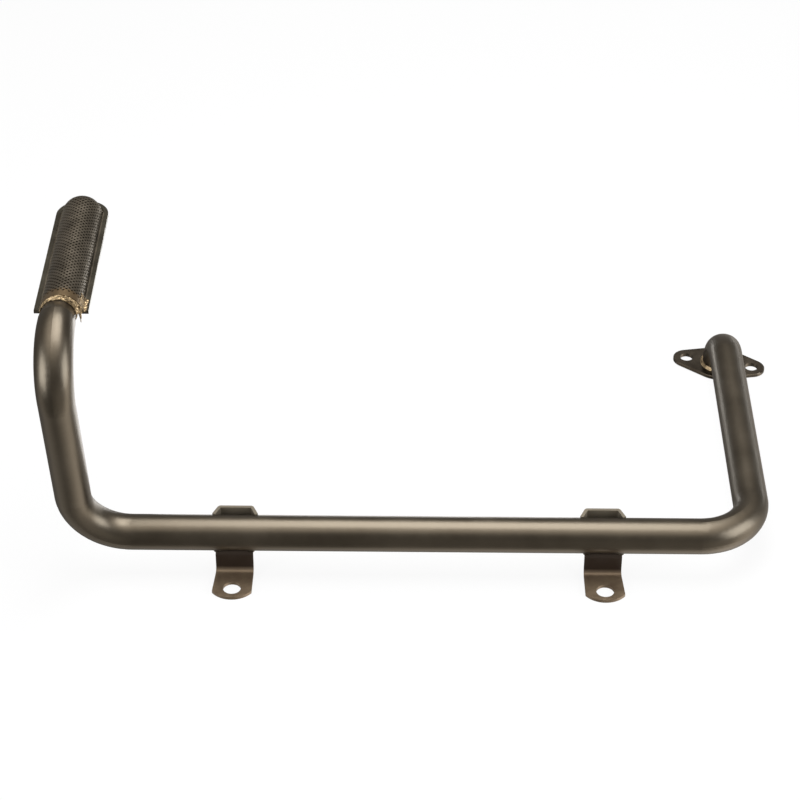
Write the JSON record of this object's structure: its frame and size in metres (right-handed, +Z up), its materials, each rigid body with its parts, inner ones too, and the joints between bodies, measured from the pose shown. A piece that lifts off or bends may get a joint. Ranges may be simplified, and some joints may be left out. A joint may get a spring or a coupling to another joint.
{
  "type": "oil pump pipe",
  "caption": "Bent steel suction pipe for an engine oil pump, with a perforated strainer, bolted outlet flange and bracket feet.",
  "frame": {"origin": "centre of the outlet, on the sealing face under the bolted flange", "axes": "+Z up out of the sealing face, along the outlet's axis, with the undersides of the bracket feet on the same plane; +X along the long run, from the pickup end to the outlet end; +Y from the run towards the flange, the way the strainer points"},
  "size_m": [0.5886, 0.3463, 0.2388],
  "materials": {
    "tube_steel": "satin, dark olive-brown oxide",
    "flange_steel": "satin, dark olive-brown oxide",
    "bracket_steel": "satin, dark olive-brown oxide",
    "strainer_steel": "satin, dark olive-brown oxide",
    "weld": "satin, dark",
    "braze": "dull golden brown"
  },
  "bodies": {
    "root": {"suction_tube": "tube_steel", "outlet_flange": "flange_steel", "flange_braze": "braze", "bracket_right": "bracket_steel", "bracket_left": "bracket_steel", "bracket_welds_right": "weld", "bracket_welds_left": "weld", "strainer_screen": "strainer_steel", "strainer_pan": "strainer_steel", "mouth_braze": "braze"}
  },
  "joints": []
}
